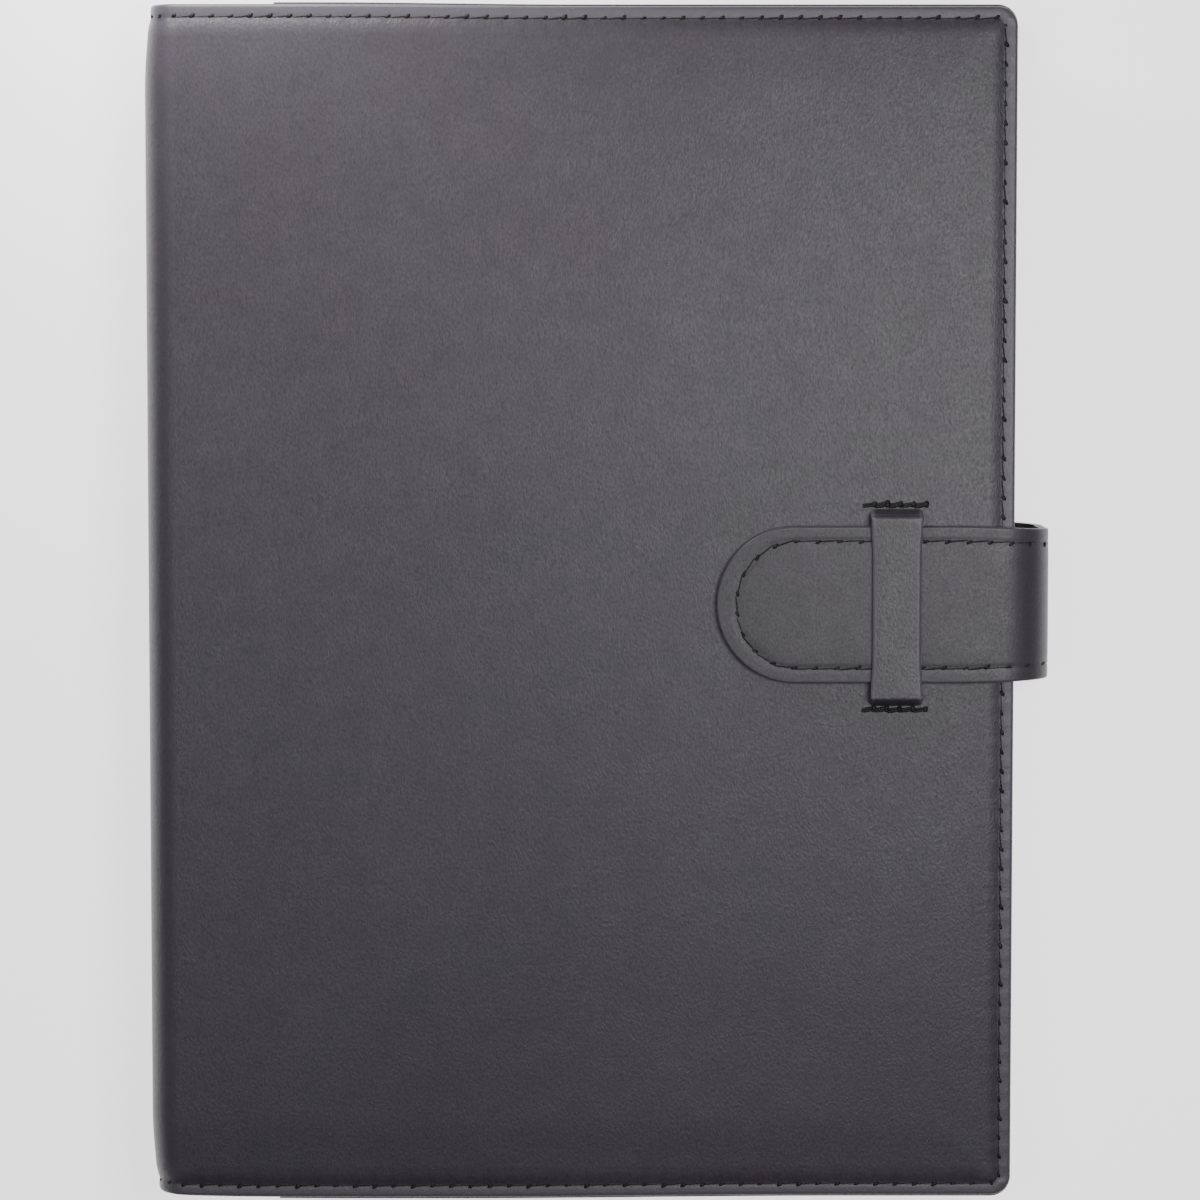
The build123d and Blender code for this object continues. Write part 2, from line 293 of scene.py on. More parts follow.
def grain_group():
    """Fine hair-like grain that runs head to tail, with soft mottling and rare flecks."""
    tree, given, result = new_group(
        "leather_grain",
        {"Grain width": 0.0006, "Stretch": 2.6, "Sway": 0.35},
        ("Height", "Mottle", "Tint", "Fleck"),
    )
    place = on_piece(tree)
    sway = add_node(tree, "ShaderNodeTexNoise", {"Vector": place, "Scale": 130.0, "Detail": 1.0})
    centred = on_vectors(tree, "SUBTRACT", sway.outputs["Color"], (0.5, 0.5, 0.5))
    reach = times(tree, given["Sway"], 0.006)
    swung = add_node(tree, "ShaderNodeVectorMath", {0: centred, "Scale": reach}, operation="SCALE")
    moved = on_vectors(tree, "ADD", place, swung.outputs[0])
    fine = sums(tree, "DIVIDE", 1.0, given["Grain width"])
    coarse = sums(tree, "DIVIDE", fine, given["Stretch"])
    stretched = on_vectors(tree, "MULTIPLY", moved, combined(tree, X=fine, Y=coarse, Z=fine))
    hair = noise(tree, stretched, 1.0, 3.0, 0.55)
    cells = add_node(tree, "ShaderNodeTexVoronoi",
                     {"Vector": stretched, "Scale": 0.8, "Randomness": 1.0},
                     feature="SMOOTH_F1").outputs["Distance"]
    depth = spread(tree, noise(tree, place, 210.0), 0.35, 0.65, to_low=0.8)
    raised = sums(tree, "SUBTRACT", hair, times(tree, cells, 0.35))
    tree.links.new(times(tree, raised, depth), result["Height"])
    tree.links.new(noise(tree, place, 22.0, 4.0, 0.6), result["Mottle"])
    tree.links.new(noise(tree, place, 55.0, 3.0, 0.6), result["Tint"])
    specks = add_node(tree, "ShaderNodeTexVoronoi", {"Vector": place, "Scale": 60.0}).outputs
    near = sums(tree, "LESS_THAN", specks["Distance"], 0.011)
    chosen = sums(tree, "GREATER_THAN", specks["Color"], 0.62)
    tree.links.new(times(tree, near, chosen), result["Fleck"])
    return tree


def wear_highlight_and_shade_group():
    """Polish and paler wear along raised edges, partly a painted highlight, and painted shade in
    hollows, from the shape itself.
    """
    tree, given, result = new_group(
        "wear_highlight_and_shade", {"Spread": 0.03, "Patchiness": 0.5}, ("Raised", "Hollow")
    )
    flat, raised_from, hollow_from = 0.5, 0.505, 0.488
    shape = add_node(tree, "ShaderNodeNewGeometry").outputs["Pointiness"]
    patch = noise(tree, on_piece(tree), 400.0, 3.0)
    raised = spread(tree, shape, raised_from, sums(tree, "ADD", flat, given["Spread"]))
    hollow = spread(tree, shape, hollow_from, sums(tree, "SUBTRACT", flat, given["Spread"]))
    kept = sums(tree, "SUBTRACT", 1.0, times(tree, given["Patchiness"], patch))
    tree.links.new(times(tree, raised, kept), result["Raised"])
    tree.links.new(hollow, result["Hollow"])
    return tree


leather_grain = grain_group()
wear_highlight_and_shade = wear_highlight_and_shade_group()


def mix_colour(tree, factor, a, b, blend="MIX"):
    """The output of a colour Mix node; a and b are sockets or colours."""
    a, b = (v if hasattr(v, "is_output") else (*v, 1) for v in (a, b))
    inputs = {0: factor, 6: a, 7: b}
    return add_node(tree, "ShaderNodeMix", inputs, data_type="RGBA", blend_type=blend).outputs[2]


def new_material(name):
    """A material with its node tree and its shader."""
    material = bpy.data.materials.new(name)
    material.use_nodes = True
    return material, material.node_tree, material.node_tree.nodes["Principled BSDF"]


def dress(shader, tone, rough, height, strength, depth):
    """Gives a shader its colour, its roughness and the relief of its surface."""
    tree = shader.id_data
    relief = add_node(tree, "ShaderNodeBump",
                      {"Strength": strength, "Distance": depth, "Height": height})
    tree.links.new(tone, shader.inputs["Base Color"])
    tree.links.new(relief.outputs[0], shader.inputs["Normal"])
    if isinstance(rough, float):
        shader.inputs["Roughness"].default_value = rough
    else:
        tree.links.new(rough, shader.inputs["Roughness"])


pore_contrast = 0.28  # sunk pores are this share darker than the tone, proud skin lighter
margin_highlight_lift = 1.7  # painted highlight: the flat sewn margin is painted paler than the open skin by this factor
# painted shade laid into hollows and creases
painted_hollow_shade = (0.004, 0.004, 0.005)
scuff = (0.5, 0.5, 0.5)


def leather(name, dark, light, tint, grain, stretch, relief, rough, wear_and_highlight):
    """Coated leather: two mottled tones, a second hue, grain relief, polished edges painted paler
    (partly wear, partly a painted highlight), a painted highlight on the sewn margin and painted
    shade in hollows.
    """
    material, tree, shader = new_material(name)
    grained = add_node(tree, "ShaderNodeGroup", {"Grain width": grain, "Stretch": stretch},
                       node_tree=leather_grain).outputs
    wear_light_and_shade = add_node(tree, "ShaderNodeGroup", node_tree=wear_highlight_and_shade).outputs
    tone = mix_colour(tree, spread(tree, grained["Mottle"], 0.32, 0.68), dark, light)
    hue = spread(tree, grained["Tint"], 0.4, 0.7, to_high=0.8)
    tone = mix_colour(tree, hue, tone, tint)
    sunk = mix_colour(tree, 1.0, tone, [1 - pore_contrast] * 3, "MULTIPLY")
    proud = mix_colour(tree, 1.0, tone, [1 + pore_contrast] * 3, "MULTIPLY")
    tone = mix_colour(tree, spread(tree, grained["Height"], 0.13, 0.53), sunk, proud)
    # raised edges painted paler: partly wear, partly a painted highlight
    tone = mix_colour(tree, wear_light_and_shade["Raised"], tone, [min(1.0, c * wear_and_highlight + 0.01) for c in light])
    # the sewn margin is painted paler: a painted highlight
    margin_highlight_mask = add_node(tree, "ShaderNodeAttribute", attribute_name="pressed").outputs["Fac"]
    tone = mix_colour(tree, margin_highlight_mask, tone, [c * margin_highlight_lift for c in light])
    # hollows and creases painted darker: painted shade
    tone = mix_colour(tree, times(tree, wear_light_and_shade["Hollow"], 0.4), tone, painted_hollow_shade)
    tone = mix_colour(tree, grained["Fleck"], tone, scuff)
    pore_gloss = times(tree, grained["Height"], 0.25)
    gloss = sums(tree, "SUBTRACT", rough + 0.06, pore_gloss)
    polish = times(tree, wear_light_and_shade["Raised"], 0.08)
    rough = sums(tree, "SUBTRACT", gloss, polish)
    dress(shader, tone, rough, grained["Height"], relief, 0.2 * mm)
    return material


hide_leather = leather(
    "hide_leather",
    dark=(0.0425, 0.038, 0.047),
    light=(0.055, 0.049, 0.060),
    tint=(0.051, 0.040, 0.054),
    grain=0.34 * mm,
    stretch=1.8,
    relief=0.35,
    rough=0.46,
    wear_and_highlight=1.6,
)

margin_lines = np.array([0, 0.07, 0.18, 0.34, 0.6, 1.0, 1.45, 1.9, 2.3, 2.7, 3.2]) * mm
side_lines = side_length * (1 - np.arange(3 * side_stitches + 1) / (3 * side_stitches))
hide_runs = np.concatenate([side_lines[::-1], hide_run - margin_lines[::-1]])
fore_lines = fore_length * (np.arange(3 * fore_stitches + 1) / (3 * fore_stitches) - 0.5)
hide_ys = np.concatenate([-hide_half + margin_lines, fore_lines, hide_half - margin_lines[::-1]])
run_grid, y_grid = np.meshgrid(hide_runs, hide_ys)
roll, rise, furrow = seam_swell(run_grid, y_grid)
hide_outer = lay(run_grid, y_grid, roll + rise + furrow)
hide_inner = lay(run_grid, y_grid, rise + hide_thick)
from_edge = np.minimum(hide_run - run_grid, hide_half - np.abs(y_grid))
# The flat sewn margin's mask, which the leather paints paler as a painted highlight; the inner face
# gets none.
flat_margin = 1 - ease((from_edge - 1.9 * mm) / (0.7 * mm))
pressed = np.concatenate([flat_margin.ravel(), np.zeros(flat_margin.size)])


def bend_with_cover(pair, panel="", spine=""):
    """Bakes the transforms of a front piece and its back twin, and hides the solids of their own
    panel and of the spine, where those are named."""
    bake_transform(pair[0])
    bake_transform(pair[1])
    for piece, side in zip(pair, ("front_", "back_")):
        if panel:
            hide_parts(side + panel, spine)


hides = make_pair("hide", hide_outer, hide_inner, hide_leather, pressed)
bend_with_cover(hides, "leather", "spine_leather")

# --------------------------------------
# The lining: a thin woven cloth glued to the hide's inner face, which shows only in
# the gap between the two sleeves. It stops short of the seam on all three sides.

lining_thick = 0.35 * mm
glue_line = 0.05 * mm
lining_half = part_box("front_lining")[1].y - 1.5 * mm
lining_runs = np.concatenate([
    np.linspace(0, spine_run + fold_run, 24),
    np.linspace(spine_run + fold_run, hide_run - 6 * mm, 30)[1:],
])
lining_ys = np.linspace(-lining_half, lining_half, 60)
run_grid, y_grid = np.meshgrid(lining_runs, lining_ys)
lining_outer = lay(run_grid, y_grid, hide_thick + glue_line)
lining_inner = lay(run_grid, y_grid, hide_thick + glue_line + lining_thick)


def weave_group():
    """A plain weave's relief and thread mask on two of the Object axes."""
    tree, given, result = new_group("plain_weave", {"Thread": 0.0004}, ("Height", "Slub"))
    place = on_piece(tree)
    parts = add_node(tree, "ShaderNodeSeparateXYZ", {0: place}).outputs
    turn = sums(tree, "DIVIDE", pi, given["Thread"])
    lengthwise = sums(tree, "ADD", parts["X"], parts["Z"])
    warp = sums(tree, "SINE", times(tree, lengthwise, turn))
    weft = sums(tree, "SINE", times(tree, parts["Y"], turn))
    over = times(tree, warp, weft)
    tree.links.new(sums(tree, "MULTIPLY_ADD", over, 0.5), result["Height"])
    tree.links.new(noise(tree, place, 300.0, 3.0), result["Slub"])
    return tree


plain_weave = weave_group()


def cloth(name, dark, light, thread, rough):
    """Woven cloth in two close tones with a soft sheen."""
    material, tree, shader = new_material(name)
    woven = add_node(tree, "ShaderNodeGroup", {"Thread": thread}, node_tree=plain_weave).outputs
    tone = mix_colour(tree, woven["Slub"], dark, light)
    dress(shader, tone, rough, woven["Height"], 0.6, 0.1 * mm)
    shader.inputs["Sheen Weight"].default_value = 0.25
    return material


lining_cloth = cloth("lining_cloth", (0.018, 0.018, 0.02), (0.03, 0.03, 0.032), 0.4 * mm, 0.85)
linings = make_pair("lining_cloth", lining_outer, lining_inner, lining_cloth)
bend_with_cover(linings, "lining", "spine_lining")

# --------------------------------------
# The perimeter seam: black bonded thread in a lockstitch, each stitch dipping into a
# needle hole at both ends and pulled tight, so that the leather puckers between them.

thread_thick = 0.36 * mm
thread_lie = 0.16 * mm  # the thread's ends lie this deep in the furrow


def stitch_tree():
    """Geometry nodes that lay one stitch with its knot along every edge of a path."""
    sizes = {
        "Path": "Geometry",
        "Thickness": thread_thick,
        "Pitch": stitch_pitch,
        "Knot length": 1.35 * mm,
        "Knot width": 0.66 * mm,
        "Knot slant": radians(20),
        "Dip": thread_lie,
        "Slant": radians(5),
        "Seed": 1,
        "Thread": "Material",
    }
    tree, given, result = new_group(
        "sewn_stitches", sizes, ["Stitches"], "GeometryNodeTree", "Geometry"
    )

    # one stitch: an arched thread and the knot at its far end
    sunk = times(tree, given["Dip"], -1.0)
    ahead = times(tree, given["Pitch"], 0.5)
    behind = times(tree, given["Pitch"], -0.5)
    arch = add_node(tree, "GeometryNodeCurveQuadraticBezier", {
        "Resolution": 5,
        "Start": combined(tree, X=behind, Z=sunk),
        "Middle": combined(tree, Z=given["Dip"]),
        "End": combined(tree, X=ahead, Z=sunk),
    })
    ring_radius = times(tree, given["Thickness"], 0.5)
    ring = add_node(tree, "GeometryNodeCurvePrimitiveCircle",
                    {"Resolution": 6, "Radius": ring_radius})
    thread = add_node(tree, "GeometryNodeCurveToMesh", {
        "Curve": arch.outputs[0], "Profile Curve": ring.outputs[0], "Fill Caps": True,
    })
    ball = add_node(tree, "GeometryNodeMeshUVSphere", {"Segments": 8, "Rings": 5, "Radius": 0.5})
    knot_height = times(tree, given["Knot width"], 0.8)
    near_end = times(tree, given["Pitch"], 0.44)
    knot = add_node(tree, "GeometryNodeTransform", {
        "Geometry": ball.outputs["Mesh"],
        "Translation": combined(tree, X=near_end),
        "Rotation": combined(tree, Z=given["Knot slant"]),
        "Scale": combined(tree, X=given["Knot length"], Y=given["Knot width"], Z=knot_height),
    })
    stitch = tree.nodes.new("GeometryNodeJoinGeometry")
    tree.links.new(knot.outputs[0], stitch.inputs[0])
    tree.links.new(thread.outputs[0], stitch.inputs[0])

    # the path's edges become points that know their direction and length
    ends = add_node(tree, "GeometryNodeInputMeshEdgeVertices").outputs
    run = on_vectors(tree, "SUBTRACT", ends["Position 2"], ends["Position 1"])
    stored = add_node(tree, "GeometryNodeStoreNamedAttribute",
                      {"Name": "run", "Geometry": given["Path"], "Value": run},
                      data_type="FLOAT_VECTOR", domain="EDGE")
    spots = add_node(tree, "GeometryNodeMeshToPoints", {"Mesh": stored.outputs[0]}, mode="EDGES")
    run, up = (
        add_node(tree, "GeometryNodeInputNamedAttribute", {"Name": label},
                 data_type="FLOAT_VECTOR").outputs[0]
        for label in ("run", "up")
    )
    facing = add_node(tree, "FunctionNodeAxesToRotation", {0: run, 1: up},
                      primary_axis="X", secondary_axis="Z").outputs[0]
    stray, swell = (
        add_node(tree, "FunctionNodeRandomValue", {2: low, 3: high, "Seed": given["Seed"]},
                 data_type="FLOAT").outputs[1]
        for low, high in ((-0.05, 0.05), (0.75, 1.3))
    )
    yaw = sums(tree, "ADD", stray, given["Slant"])
    turned = add_node(tree, "FunctionNodeRotateRotation",
                      {"Rotation": facing, "Rotate By": combined(tree, Z=yaw)},
                      rotation_space="LOCAL").outputs[0]
    length = add_node(tree, "ShaderNodeVectorMath", {0: run}, operation="LENGTH").outputs["Value"]
    reach = sums(tree, "DIVIDE", length, given["Pitch"])
    laid = add_node(tree, "GeometryNodeInstanceOnPoints", {
        "Points": spots.outputs[0],
        "Instance": stitch.outputs[0],
        "Rotation": turned,
        "Scale": combined(tree, X=reach, Y=swell, Z=swell),
    })
    solid = add_node(tree, "GeometryNodeRealizeInstances", {0: laid.outputs[0]})
    shaded = add_node(tree, "GeometryNodeSetShadeSmooth", {0: solid.outputs[0]})
    dyed = add_node(tree, "GeometryNodeSetMaterial",
                    {"Geometry": shaded.outputs[0], "Material": given["Thread"]})
    tree.links.new(dyed.outputs[0], result[0])
    return tree


sewn_stitches = stitch_tree()


def thread_material():
    """Black bonded thread, faintly glossy, with its two plies just showing."""
    material, tree, shader = new_material("seam_thread")
    place = on_piece(tree)
    plies = add_node(tree, "ShaderNodeTexWave",
                     {"Vector": place, "Scale": 900.0, "Distortion": 1.5},
                     bands_direction="DIAGONAL").outputs["Fac"]
    lint = noise(tree, place, 900.0)
    tone = mix_colour(tree, lint, (0.002, 0.002, 0.003), (0.009, 0.008, 0.010))
    dress(shader, tone, 0.6, plies, 0.5, 0.1 * mm)
    return material


seam_thread = thread_material()


def sew(name, runs, seed, **sizes):
    """Sews along runs of holes; each run is a pair of points and outward directions."""
    points, ups, edges = [], [], []
    for holes, outward in runs:
        first = len(points)
        points += [tuple(p) for p in holes]
        ups += [tuple(u) for u in outward]
        edges += [(first + k, first + k + 1) for k in range(len(holes) - 1)]
    path = bpy.data.meshes.new(name + "_path")
    path.from_pydata(points, edges, [])
    up = path.attributes.new("up", "FLOAT_VECTOR", "POINT")
    up.data.foreach_set("vector", np.array(ups, np.float32).ravel())
    guide = show(name + "_path", path)
    modifier = guide.modifiers.new("sewing", "NODES")
    modifier.node_group = sewn_stitches
    settings = {"Thread": seam_thread, "Seed": seed, **sizes}
    for item in sewn_stitches.interface.items_tree:
        if item.in_out == "INPUT" and item.name in settings:
            modifier[item.identifier] = settings[item.name]
    ready = guide.evaluated_get(bpy.context.evaluated_depsgraph_get())
    mesh = bpy.data.meshes.new_from_object(ready)
    bpy.data.objects.remove(guide)
    mesh.name = name
    return show(name, mesh)


def seam_holes():
    """The needle holes from mid spine along the head, down the fore-edge and back."""
    side_y = hide_half - seam_inset
    runs = side_length * np.arange(side_stitches + 1) / side_stitches
    ys = fore_length * (0.5 - np.arange(fore_stitches + 1) / fore_stitches)
    fore_run = hide_run - seam_inset
    run = np.concatenate([runs, np.full(ys.shape, fore_run), runs[::-1]])
    y = np.concatenate([np.full(runs.shape, side_y), ys, np.full(runs.shape, -side_y)])
    return run, y


def outward(section):
    """The outward direction at each spot of a section."""
    _, _, nx, nz = section
    return np.stack([nx, np.zeros_like(nx), nz], -1)


hole_run, hole_y = seam_holes()
seam_up = outward(wrap(hole_run))
seam_points = lay(hole_run, hole_y, np.full(hole_run.shape, margin_drop + thread_lie))
turned_over = np.array([1, 1, -1])
seams = (
    sew("front_seam_stitches", [(seam_points, seam_up)], 3),
    sew("back_seam_stitches", [(to_back(seam_points), seam_up * turned_over)], 4),
)
bend_with_cover(seams, "seam_thread", "spine_seam_threads")

# --------------------------------------
# The sleeves: a thinner skin sewn inside each panel on three sides. Each is pinched
# to the hide at the seam, goes down over the board's edge and lies flat along it.

sleeve_half = hide_half + 0.35 * mm
sleeve_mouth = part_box("front_sleeve")[0].x
sleeve_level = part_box("front_sleeve")[0].z
sleeve_thick = 0.7 * mm
mouth_hem = 0.12 * mm  # the mouth is folded over, so it is a little thicker
ripple_depth = 0.018 * mm
mouth_run = hide_run - (fore_x - sleeve_mouth)
sleeve_lines = np.array([0, 0.15, 0.4, 1.0, 1.8, 2.4, 2.8, 3.2, 3.6, 4.0, 4.5, 5.5, 7.5]) * mm
sleeve_runs = np.concatenate([
    mouth_run + np.array([0, 0.1, 0.3, 0.8, 1.6, 2.4]) * mm,
    np.linspace(mouth_run + 5 * mm, hide_run - 9 * mm, 50),
    hide_run - sleeve_lines[::-1],
])
sleeve_ys = np.concatenate([
    -sleeve_half + sleeve_lines,
    np.linspace(-sleeve_half + 9 * mm, sleeve_half - 9 * mm, 70),
    sleeve_half - sleeve_lines[::-1],
])
run_grid, y_grid = np.meshgrid(sleeve_runs, sleeve_ys)
edge = np.minimum(hide_run - run_grid, sleeve_half - np.abs(y_grid))
pinched = margin_drop + hide_thick + 0.03 * mm
resting = top_z - sleeve_level - sleeve_thick
near_mouth = 1 - ease((run_grid - mouth_run) / (1.2 * mm))
ripple = ripple_depth * np.sin(y_grid / (9 * mm)) * ease((edge - 5 * mm) / (9 * mm))
level = pinched + (resting - pinched) * ease((edge - 2.5 * mm) / (2.0 * mm)) + ripple
thinned = np.minimum(0.25 * mm, 0.5 * edge) * (1 - ease((edge - 0.2 * mm) / (0.4 * mm)))
sleeve_outer = lay(run_grid, y_grid, level, sleeve_half)
sleeve_floor = level + sleeve_thick + mouth_hem * near_mouth - thinned
sleeve_inner = lay(run_grid, y_grid, sleeve_floor, sleeve_half)

sleeve_leather = leather(
    "sleeve_leather",
    dark=(0.030, 0.029, 0.034),
    light=(0.040, 0.038, 0.044),
    tint=(0.036, 0.031, 0.038),
    grain=0.3 * mm,
    stretch=1.4,
    relief=0.5,
    rough=0.55,
    wear_and_highlight=1.5,
)


def fasten(piece, body, node):
    """Fixes a piece to one part of the cover and hides that part's solid."""
    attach(piece, body)
    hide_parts(node)


sleeves = make_pair("sleeve_skin", sleeve_outer, sleeve_inner, sleeve_leather)
for piece, body in zip(sleeves, ("front", "back")):
    fasten(piece, body, body + "_sleeve")

# --------------------------------------
# The notebook's case: two grey boards and a spine strip, covered outside by one
# piece of black book cloth, with a cream endpaper pasted inside each board.


def slab(name, low, high, corner, soft, material):
    """A flat board with rounded corners and softened edges."""
    turns = 6
    rings = [(0.0, soft), (0.3 * soft, 0.3 * soft), (soft, 0.0)]
    levels = [(low[2] + up, inset) for up, inset in rings]
    levels += [(high[2] - up, inset) for up, inset in rings[::-1]]
    points = []
    for z, inset in levels:
        radius = max(corner - inset, 0.05 * mm)
        for quarter, (sx, sy) in enumerate(((1, 1), (-1, 1), (-1, -1), (1, -1))):
            cx = (high[0] - inset - radius) if sx > 0 else (low[0] + inset + radius)
            cy = (high[1] - inset - radius) if sy > 0 else (low[1] + inset + radius)
            for k in range(turns + 1):
                angle = pi / 2 * (quarter + k / turns)
                points.append((cx + radius * cos(angle), cy + radius * sin(angle), z))
    count = 4 * (turns + 1)
    faces = [tuple(range(count))[::-1]]
    for ring in range(len(levels) - 1):
        for k in range(count):
            a, b = ring * count + k, ring * count + (k + 1) % count
            faces.append((a, b, b + count, a + count))
    faces.append(tuple(range((len(levels) - 1) * count, len(levels) * count)))
    return make_piece(name, points, faces, material)


def fibre_board():
    """Grey board with pressed fibres."""
    material, tree, shader = new_material("book_board")
    fibres = noise(tree, on_piece(tree), 1500.0, 4.0)
    tone = mix_colour(tree, fibres, (0.12, 0.12, 0.115), (0.3, 0.29, 0.27))
    dress(shader, tone, 0.9, fibres, 0.3, 0.1 * mm)
    return material


book_board = fibre_board()
board_trim = 1.6 * mm  # keeps the boards clear of the pinched sleeve
for body in ("front", "back"):
    low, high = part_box(body + "_board")
    board_low = Vector((low.x, low.y + board_trim, low.z))
    board_high = Vector((high.x - board_trim, high.y - board_trim, high.z))
    board = slab(body + "_case_board", board_low, board_high, 2.2 * mm, 0.25 * mm, book_board)
    fasten(board, body, body + "_board")

book_cloth = cloth("book_cloth", (0.012, 0.012, 0.013), (0.022, 0.022, 0.024), 0.45 * mm, 0.8)
low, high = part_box("book_spine")
strip_trim = Vector((0, 1, 0)) * mm
strip = slab("case_spine_strip", low + strip_trim, high - strip_trim, 0.3 * mm, 0.2 * mm, book_cloth)
fasten(strip, "spine", "book_spine")

case_runs = np.concatenate([
    np.linspace(0, spine_run + fold_run, 20),
    np.linspace(spine_run + fold_run, hide_run - 7 * mm, 24)[1:],
])
case_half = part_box("front_board")[1].y - 2 * mm
case_thick = 0.12 * mm
run_grid, y_grid = np.meshgrid(case_runs, np.linspace(-case_half, case_half, 40))
case_depth = hide_thick + lining_thick + 0.08 * mm
case_outer = lay(run_grid, y_grid, case_depth)
case_inner = lay(run_grid, y_grid, case_depth + case_thick)
cases = make_pair("case_cloth", case_outer, case_inner, book_cloth)
bend_with_cover(cases)

rule_gap = 3.5 * mm  # half the distance between two ruled lines
rule_thick = 0.11 * mm
rule_head, rule_tail = 90 * mm, -98 * mm
rule_ink = (0.42, 0.43, 0.45)


def paper(name, light, dark, ruled):
    """Uncoated cream paper, with faint ruled lines where the leaf is for writing."""
    material, tree, shader = new_material(name)
    place = on_piece(tree)
    pulp = noise(tree, place, 700.0, 5.0, 0.7)
    tone = mix_colour(tree, pulp, dark, light)
    if ruled:
        y = add_node(tree, "ShaderNodeSeparateXYZ", {0: place}).outputs["Y"]
        line = sums(tree, "PINGPONG", sums(tree, "ADD", y, 1.0), rule_gap)
        ink = sums(tree, "LESS_THAN", line, rule_thick)
        below_head = sums(tree, "LESS_THAN", y, rule_head)
        above_tail = sums(tree, "GREATER_THAN", y, rule_tail)
        ink = times(tree, ink, times(tree, below_head, above_tail))
        tone = mix_colour(tree, ink, tone, rule_ink)
    dress(shader, tone, 0.85, pulp, 0.15, 0.05 * mm)
    return material


endpaper = paper("endpaper", (0.62, 0.58, 0.5), (0.54, 0.5, 0.42), ruled=False)
for body in ("front", "back"):
    low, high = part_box(body + "_endpaper")
    sheet_low, sheet_high = low + Vector((0, 2.2, 0)) * mm, high - Vector((1.5, 2.2, 0)) * mm
    sheet = slab(body + "_pastedown", sheet_low, sheet_high, 1.5 * mm, 0.05 * mm, endpaper)
    fasten(sheet, body, body + "_endpaper")

# --------------------------------------
# The leaves: two half blocks of sewn signatures. The edges step in and out by a
# hair from leaf to leaf, and the faces fall a little towards the gutter.

leaf_step = 0.16 * mm
leaf_wander = 0.05 * mm
gutter_fall = 1.4 * mm
gutter_reach = 9 * mm
gutter_gap = 0.1 * mm  # keeps the two blocks apart when the book lies open


def leaf_edges():
    """Cream leaf edges: a fine line for every few leaves."""
    material, tree, shader = new_material("leaf_edges")
    squashed = on_vectors(tree, "MULTIPLY", on_piece(tree), (60.0, 60.0, 9000.0))
    lines = noise(tree, squashed, 1.0, 3.0, 0.7)
    contrast = spread(tree, lines, 0.3, 0.7)
    tone = mix_colour(tree, contrast, (0.36, 0.33, 0.27), (0.66, 0.62, 0.53))
    dress(shader, tone, 0.9, lines, 0.5, 0.1 * mm)
    return material


leaf_face = paper("leaf_face", (0.68, 0.65, 0.56), (0.6, 0.57, 0.48), ruled=True)
leaf_edge = leaf_edges()


def leaf_block(name, low, high, gutter_above, seed):
    """A stack of leaves; the face towards the middle of the book falls to the gutter."""
    rng = np.random.default_rng(seed)
    layers = round((high.z - low.z) / leaf_step)
    along = np.concatenate([
        np.linspace(low.x + 0.1 * mm, low.x + gutter_reach, 10),
        np.linspace(low.x + gutter_reach, high.x, 14)[1:],
    ])
    fall = gutter_fall * (1 - ease((along - low.x) / gutter_reach))
    thickness = high.z - low.z
    points = []
    for layer in range(layers):
        inset = leaf_wander * rng.random(3)
        for level in (layer / layers, (layer + 1) / layers):
            if gutter_above:
                z = low.z + (thickness - fall) * level
            else:
                z = high.z - (thickness - fall) * (1 - level)
            x = along.copy()
            x[-1] -= inset[0]
            head = np.stack([x, np.full_like(x, high.y - inset[1]), z], -1)
            tail = np.stack([x, np.full_like(x, low.y + inset[2]), z], -1)
            points += list(head) + list(tail[::-1])
    n = len(along)
    ring = 2 * n
    faces, sides = [], []
    for k in range(2 * layers - 1):
        for j in range(ring):
            a, b = k * ring + j, k * ring + (j + 1) % ring
            sides.append((a, b, b + ring, a + ring))
    for base in (0, (2 * layers - 1) * ring):
        for j in range(n - 1):
            faces.append((base + j, base + j + 1, base + ring - 2 - j, base + ring - 1 - j))
    block = make_piece(name, points, faces + sides, leaf_face, sharp=30)
    block.data.materials.append(leaf_edge)
    for polygon in block.data.polygons:
        polygon.material_index = 0 if abs(polygon.normal.z) > 0.7 and polygon.area > 1e-4 else 1
    return block


for node, body, gutter_above in (("lower_pages", "back", True), ("upper_pages", "leaves", False)):
    block = leaf_block(node + "_block", *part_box(node), gutter_above, 11)
    fasten(block, body, node)

# --------------------------------------
# The strap: face leather and backing, sewn together round the edge and left with cut
# edges. It leaves the back panel's fore-edge seam, turns up past the fore-edge, turns
# again over the front and ends in a round tab. Two lengths meet half way up its side.

tab_low, tab_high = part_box("strap_tab_face")
strap_half = (tab_high.y - tab_low.y) / 2
strap_y = tab_high.y - strap_half + 0.2 * mm
strap_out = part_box("strap_side_face")[1].x
tab_z = tab_high.z
tail_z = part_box("strap_tail_face")[0].z
tip_x = tab_low.x
turn_wide = 9.6 * mm  # each turn is a quarter of an ellipse, wider than it is high
turn_high = 6.6 * mm
layer_thick = 0.87 * mm
layer_gap = 0.02 * mm
strap_middle = (tab_z + tail_z) / 2
strap_fold_x = strap_out - turn_wide
upright_run = tab_z - turn_high - strap_middle
turn_angles = np.linspace(0, pi / 2, 181)
turn_speed = np.hypot(turn_wide * np.sin(turn_angles), turn_high * np.cos(turn_angles))
turn_steps = (turn_speed[1:] + turn_speed[:-1]) / 2 * (turn_angles[1] - turn_angles[0])
turn_runs = np.concatenate([[0], np.cumsum(turn_steps)])
strap_fold_run = turn_runs[-1]
tab_run = upright_run + strap_fold_run + strap_fold_x - tip_x - strap_half
tab_pitch = 3.9 * mm
strap_seam_side = 2.7 * mm
strap_seam_tip = 3.5 * mm


